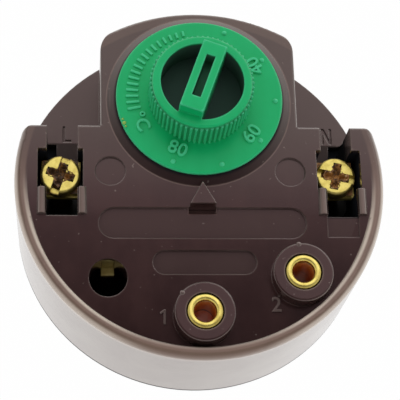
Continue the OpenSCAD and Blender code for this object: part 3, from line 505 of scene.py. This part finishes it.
dress("dial_knob", moulded("green_knob", GREEN, GREEN_LIGHT, rough=0.3, shine=0.26,
                           edge=0.4 * mm, mirror=0.12, gloss=GREEN_GLOSS, edge_wear_and_sheen=GREEN_EDGE_WEAR_AND_SHEEN,
                           shadow=grip_shade, dark=GREEN_UNLIT))


# Dial marks
# Raised on the dial in one with it: three numbers of degrees and their unit, a dot at each
# ten degrees, and a row of ticks that grow towards the hot end.

GREEN_MARK = (0.02, 0.54, 0.21)
dial_height = 22.75 * mm
digit_height = 2.4 * mm
digit_relief = 0.4 * mm
dot_circle = 12.9 * mm
tick_circle = 12.5 * mm
tick_count = 17
tick_start = 192.0
tick_step = 5.6


def on_dial(mesh, radius, angle, rooted=0.05 * mm):
    """Stands a mesh on the dial at a radius and angle, its feet towards the dial's edge."""
    a = math.radians(angle)
    mesh.transform(Matrix.Translation((radius * math.cos(a), radius * math.sin(a),
                                       dial_height - rooted))
                   @ Matrix.Rotation(a + math.radians(90.0), 4, "Z"))
    return mesh


dial_marks = []
for words, radius, angle in (("40", 11.2, 31.0), ("60", 11.05, -39.0), ("80", 10.55, -112.0)):
    number = raised_text("dial_number", words, digit_height, digit_relief)
    dial_marks.append(on_dial(number, radius * mm, angle))
for angle in (69.3, 32.5, -3.2, -38.8, -74.7, -111.6):
    dial_marks.append(on_dial(pip("dial_dot", 0.45 * mm, 0.42 * mm), dot_circle, angle))
for i in range(tick_count):
    tick = stroke((2.3 - 0.08 * i) * mm, 0.42 * mm, 0.38 * mm)
    dial_marks.append(on_dial(tick, tick_circle, tick_start - tick_step * i))
unit = raised_text("dial_unit", "°C", 2.3 * mm, digit_relief)
dial_marks.append(on_dial(unit, 11.2 * mm, 206.0))
add_piece("dial_marks", joined("dial_marks", dial_marks), "knob",
          moulded("green_marks", GREEN_MARK, GREEN_EDGE_WEAR_AND_SHEEN, rough=0.36, shine=0.3,
                  edge=0.1 * mm, mirror=0.1, gloss=GREEN_GLOSS, edge_wear_and_sheen=GREEN_EDGE_WEAR_AND_SHEEN))


# Dial burr
# Where the mould's gate was cut off, a yellowish burr stands on the dial's edge, one large
# pip of plastic between two small ones.

burr_circle = 13.75 * mm
burrs = [on_dial(pip("dial_burr", size * mm, 0.26 * mm), burr_circle, angle)
         for angle, size in ((-158.5, 0.34), (-161.5, 0.22), (-155.6, 0.2))]
add_piece("dial_burr", joined("dial_burr", burrs), "knob",
          moulded("green_burr", (0.2, 0.5, 0.1), (0.36, 0.55, 0.12), rough=0.3, shine=0.3,
                  edge=0.1 * mm, mirror=0.1))


# Terminals
# Brass screws with a driver slot and a cross recess press bent brass plates on the wires.
# Flux and tarnish have browned the recesses and filled them with a lumpy crust.

terminal_y = -12.5 * mm
terminal_x = 23.4 * mm
screw_top = 18.0 * mm


def terminal_brass(name, axis, top):
    """Yellow turned brass, brown with tarnish near the recess and the rim of the head."""
    made, shade = new_material(name)
    point, (x, y, z) = place_of(shade)
    away = distance(x, y, axis)
    cloud = noise(shade, point, 900.0, 4.0, 0.7)
    turned = noise(shade, shade.node("CombineXYZ", sockets={0: away}), 5000.0, 1.0)
    recess = below(z - top, -0.8, -0.2) * below(away, 1.7, 2.6)
    rim = 0.6 * above(away, 3.0, 3.3)
    brown = highest((recess * (0.6 + cloud)).ease(0.45, 0.85), cloud.ease(0.62, 0.8) * 0.5,
                    (rim * (0.5 + cloud)).ease(0.2, 0.8) * 0.6)
    yellow = cloud.ease(0.35, 0.7).mix((0.7, 0.57, 0.165), (0.56, 0.44, 0.11))
    output(shade, shade.node("BsdfPrincipled", sockets={
        "Base Color": brown.mix(yellow, (0.16, 0.075, 0.03)), "Metallic": 1 - 0.5 * brown,
        "Roughness": 0.26 + 0.2 * cloud + 0.2 * brown,
        "Normal": relief(shade, cloud + turned * 0.5, 0.2, 0.03 * mm, 0.18 * mm)}))
    return made


def old_flux(name, share):
    """Old flux and tarnish: dark brown with a share of amber and pale grains."""
    made, shade = new_material(name)
    point, _ = place_of(shade)
    grain = noise(shade, point, 2300.0, 3.0, 0.65)
    cloud = noise(shade, point, 700.0, 2.0)
    amber = (grain * 0.5 + cloud * 0.5 + share).ease(0.44, 0.62)
    pale = (grain + share * 0.5).ease(0.63, 0.74)
    brown = amber.mix((0.07, 0.032, 0.013), (0.4, 0.17, 0.035))
    output(shade, shade.node("BsdfPrincipled", sockets={
        "Base Color": pale.mix(brown, (0.62, 0.5, 0.28)), "Roughness": 0.35 + 0.4 * cloud,
        "Specular IOR Level": 0.5, "Normal": relief(shade, grain, 0.5, 0.1 * mm)}))
    return made


def crust(name, axis, top, turn):
    """The lumpy crust that has filled most of the recess of a screw's head.

    Its upper side sinks towards the middle, its outline is ragged and laps over the head's
    face here and there. Its foot lies in the recess's floor.
    """
    half = 3.0 * mm
    steps = 80
    slot_long, slot_wide = 1.45 * mm, 0.82 * mm
    cross_long, cross_wide = 1.6 * mm, 0.8 * mm
    heart = 1.35 * mm
    middle, rise = -0.75 * mm, 0.85 * mm
    bottom, proud, foot = -1.3 * mm, 0.16 * mm, -1.42 * mm
    lean = math.radians(turn)
    shape = bmesh.new()
    rows = []
    for i in range(steps + 1):
        row = []
        for k in range(steps + 1):
            x = (2.0 * i / steps - 1.0) * half
            y = (2.0 * k / steps - 1.0) * half
            u = x * math.cos(lean) + y * math.sin(lean)
            v = y * math.cos(lean) - x * math.sin(lean)
            spot = Vector((x + axis[0] * 3.0, y, 0.0)) / mm
            ragged = (0.4 * lumps.noise(spot * 0.9) + 0.25 * lumps.noise(spot * 2.6)) * mm
            away = ragged + min(math.hypot(max(abs(u) - slot_long, 0.0), v) - slot_wide,
                                math.hypot(max(abs(v) - cross_long, 0.0), u) - cross_wide,
                                math.hypot(x, y) - heart)
            t = min(1.0, max(0.0, (away + 0.9 * mm) / (0.8 * mm)))
            lump = lumps.noise(spot * 2.1 + Vector((7.0, 3.0, 0.0))) * mm
            height = middle + rise * t * t * (3.0 - 2.0 * t) + lump * (0.3 - 0.2 * t)
            if away > 0.0:
                height = bottom
            row.append(shape.verts.new((axis[0] + x, axis[1] + y,
                                        top + max(bottom, min(proud, height)))))
        rows.append(row)
    for one, two in zip(rows, rows[1:]):
        for k in range(steps):
            shape.faces.new((one[k], two[k], two[k + 1], one[k + 1]))
    rim = rows[0] + [row[-1] for row in rows[1:]] + rows[-1][-2::-1] \
        + [row[0] for row in rows[-2:0:-1]]
    feet = [shape.verts.new((v.co.x, v.co.y, top + foot)) for v in rim]
    for k in range(len(rim)):
        n = (k + 1) % len(rim)
        shape.faces.new((rim[k], rim[n], feet[n], feet[k]))
    shape.faces.new(feet)
    bmesh.ops.recalc_face_normals(shape, faces=shape.faces)
    return new_mesh(name, shape)


plate_brass = metal("plate_brass", (0.85, 0.68, 0.19), (0.6, 0.42, 0.12), 0.3, metallic=0.5)
for side, x, turn, share in (("L", -terminal_x, 74.0, -0.03), ("N", terminal_x, -12.0, 0.06)):
    axis = (x, terminal_y)
    dress("terminal_screw_" + side, terminal_brass("screw_brass_" + side, axis, screw_top))
    dress("clamp_plate_" + side, plate_brass)
    add_piece("screw_crust_" + side, crust("screw_crust_" + side, axis, screw_top, turn),
              "screw_" + side, old_flux("old_flux_" + side, share))


# Terminal bars
# Two stamped brass bars in the housing carry the current from the clamps. They lie deep in
# unlit pockets and are drawn almost black, painted shade; only one's tab in the spare
# plug hole shows its brass.

tab_x = -15.5 * mm


def shade_painted(name):
    made, shade = new_material(name)
    point, (x, y, z) = place_of(shade)
    cloud = noise(shade, point, 600.0, 4.0)
    # Painted shade: all but the tab in the spare plug hole is drawn almost black.
    on_tab = above(z, 12.0, 14.5) * below(abs(x - tab_x), 1.05, 1.2)
    black = cloud.mix((0.008, 0.008, 0.008), (0.02, 0.017, 0.012))
    yellow = cloud.ease(0.3, 0.7).mix((0.62, 0.52, 0.22), (0.45, 0.35, 0.13))
    output(shade, shade.node("BsdfPrincipled", sockets={
        "Base Color": on_tab.mix(black, yellow), "Metallic": 0.2 + 0.6 * on_tab,
        "Roughness": 0.42 + 0.2 * cloud,
        "Normal": relief(shade, cloud, 0.2, 0.03 * mm, 0.3 * mm)}))
    return made


dark_brass = shade_painted("tarnished_brass")
dress("terminal_bar_L", dark_brass)
dress("terminal_bar_N", dark_brass)


# Plug sockets
# Turned brass sleeves with rolled lips, pressed into the housing's two bosses. Deep inside,
# the heat of the pins has turned them copper red.

def socket_brass(name, axis, glow):
    """Yellow brass, scorched dark inside; glow is how much copper shows at the far end."""
    made, shade = new_material(name)
    point, (x, y, z) = place_of(shade)
    away = distance(x, y, axis)
    cloud = noise(shade, point, 700.0, 4.0)
    bore = below(away, 1.84, 1.98)
    sunk = bore * below(z, 20.8, 21.6)
    deep = bore * below(z, 16.2, 16.5) * glow
    dark_band = between(z, 16.3, 16.75) * sunk * glow
    # Painted shade: the outer side of the rolled lip is drawn darker olive.
    outer = above(away, 2.65, 2.85) * (0.5 + cloud)
    paint = cloud.ease(0.35, 0.75).mix((0.74, 0.6, 0.17), (0.56, 0.42, 0.1))
    for place, stain in ((0.75 * outer, (0.26, 0.19, 0.045)), (sunk, (0.62, 0.2, 0.03)),
                         (deep, (1.0, 0.4, 0.15)), (dark_band, (0.05, 0.012, 0.004))):
        paint = place.mix(paint, stain)
    output(shade, shade.node("BsdfPrincipled", sockets={
        "Base Color": paint, "Metallic": 1 - 0.9 * sunk,
        "Roughness": 0.2 + 0.15 * cloud + 0.3 * sunk,
        "Normal": relief(shade, cloud, 0.15, 0.02 * mm, 0.2 * mm)}))
    return made


for node, glow in (("socket_1", 0.9), ("socket_2", 0.15)):
    dress(node, socket_brass(node + "_brass", socket_axes[node], glow))


# Adjusting gear and contacts, closed in the head
# A brass spindle and nut on a plated steel carrier, a steel lever on a pin, a ceramic pusher,
# and a bronze blade with silver contacts.

bar_brass = metal("bar_brass", (0.66, 0.47, 0.19), (0.4, 0.26, 0.12), 0.32)
for node in ("adjusting_spindle", "setting_nut", "blade_rivet", "contact_strip"):
    dress(node, bar_brass)
for node in ("spindle_carrier", "carrier_screws", "pivot_pin", "setting_lever"):
    dress(node, zinc)


def ceramic(name):
    made, shade = new_material(name)
    point, _ = place_of(shade)
    cloud = noise(shade, point, 900.0, 4.0)
    output(shade, shade.node("BsdfPrincipled", sockets={
        "Base Color": cloud.ease(0.3, 0.7).mix((0.82, 0.8, 0.74), (0.72, 0.69, 0.62)),
        "Roughness": 0.6 + 0.2 * cloud, "Normal": relief(shade, cloud, 0.2, 0.02 * mm)}))
    return made


dress("contact_pusher", ceramic("pusher_ceramic"))
dress("contact_blade", metal("spring_bronze", (0.6, 0.36, 0.16), (0.42, 0.24, 0.1), 0.3,
                             streaks=(120.0, 3000.0, 3000.0)))
silver = metal("contact_silver", (0.8, 0.8, 0.77), (0.5, 0.5, 0.48), 0.28)
dress("moving_contact", silver)
dress("fixed_contact", silver)


# Stem
# A drawn brass tube with a soldered tip, held in the cover by a bush and a steel lock ring.
# The steel rod inside grows less with heat than the tube does.

drawn_streaks = (2600.0, 2600.0, 60.0)
stem_brass = metal("stem_brass", (0.7, 0.48, 0.2), (0.46, 0.29, 0.13), 0.26, stain=0.15,
                   streaks=drawn_streaks)
dress("stem_tube", stem_brass)
dress("stem_tip", stem_brass)
dress("stem_bush", bar_brass)
dress("stem_lock_ring", zinc)
dress("inner_rod", metal("rod_steel", (0.46, 0.46, 0.47), (0.32, 0.32, 0.33), 0.3,
                         streaks=drawn_streaks))


# Floor and room
# The part stands on its stem over a white floor, in a white room with bright walls and a dim
# ceiling. The floor is pale paper with a shadow on it, seen and mirrored as almost pure white.

floor_reach = 6.0
floor_height = cad_box[0].z - 0.2 * mm
floor_white = 0.985
ceiling_light = 0.18
wall_light = 0.84
corners = [(x * floor_reach, y * floor_reach, floor_height)
           for x, y in ((-1, -1), (1, -1), (1, 1), (-1, 1))]
floor_mesh = bpy.data.meshes.new("floor")
floor_mesh.from_pydata(corners, [], [(0, 1, 2, 3)])
floor = new_object("floor", floor_mesh)

made, shade = new_material("white_floor")
seen, mirrored, passed = (shade.node("LightPath", out=i) for i in (0, 3, 6))
white = shade.node("Emission", sockets={"Color": (1, 1, 1, 1), "Strength": 1.0})
paper = shade.node("BsdfDiffuse", sockets={"Color": (0.86, 0.86, 0.86, 1.0)})
share = shade.math("MINIMUM", seen + mirrored + passed, 1.0) * floor_white
output(shade, shade.node("MixShader", sockets={0: share, 1: paper, 2: white}))
floor_mesh.materials.append(made)

world = bpy.data.worlds.new("room")
bpy.context.scene.world = world
world.use_nodes = True
world.node_tree.nodes.clear()
shade = Shade(world.node_tree)
seen = shade.node("LightPath", out=0)
heading = shade.node("TexCoord", out=0)
low = 1 - shade.node("SeparateXYZ", sockets={0: heading}, out=2).ease(0.3, 0.95)
strength = shade.math("MAXIMUM", seen, ceiling_light + wall_light * low)
output(shade, shade.node("Background", sockets={"Color": (1, 1, 1, 1), "Strength": strength}),
       "World")


# Lamp and camera
# One wide soft lamp hangs behind the dial. The camera looks down on the head from the plug's
# end, a little from the left.

lamp = bpy.data.lights.new("wide_light", "AREA")
lamp.shape = "RECTANGLE"
lamp.size = 1.2
lamp.size_y = 0.95
lamp.energy = 4.2
lamp_stand = new_object("wide_light", lamp)
lamp_stand.location = (0.1, 0.49, 0.8)
lamp_aim = Vector((0.0, -0.0143, 0.02))
lamp_turn = (lamp_aim - lamp_stand.location).to_track_quat("-Z", "Y")
lamp_roll = Quaternion((0, 0, 1), math.radians(12.0))
lamp_stand.rotation_euler = (lamp_turn @ lamp_roll).to_euler()

camera = bpy.data.cameras.new("camera")
camera.lens = 130.0
camera.sensor_width = 36.0
camera.clip_start = 0.01
camera.clip_end = 50.0
camera_place = (-0.0215, -0.10465, 0.2435)
right = Vector((0.9961, -0.0268, 0.0846)).normalized()
ahead = Vector((0.0885, 0.3609, -0.9284)).normalized()
up = right.cross(ahead).normalized()
turned = Matrix((right, up, -ahead)).transposed().to_4x4()
tripod = new_object("camera", camera)
tripod.matrix_world = Matrix.Translation(camera_place) @ turned
bpy.context.scene.camera = tripod
bpy.context.scene.view_settings.view_transform = "Standard"
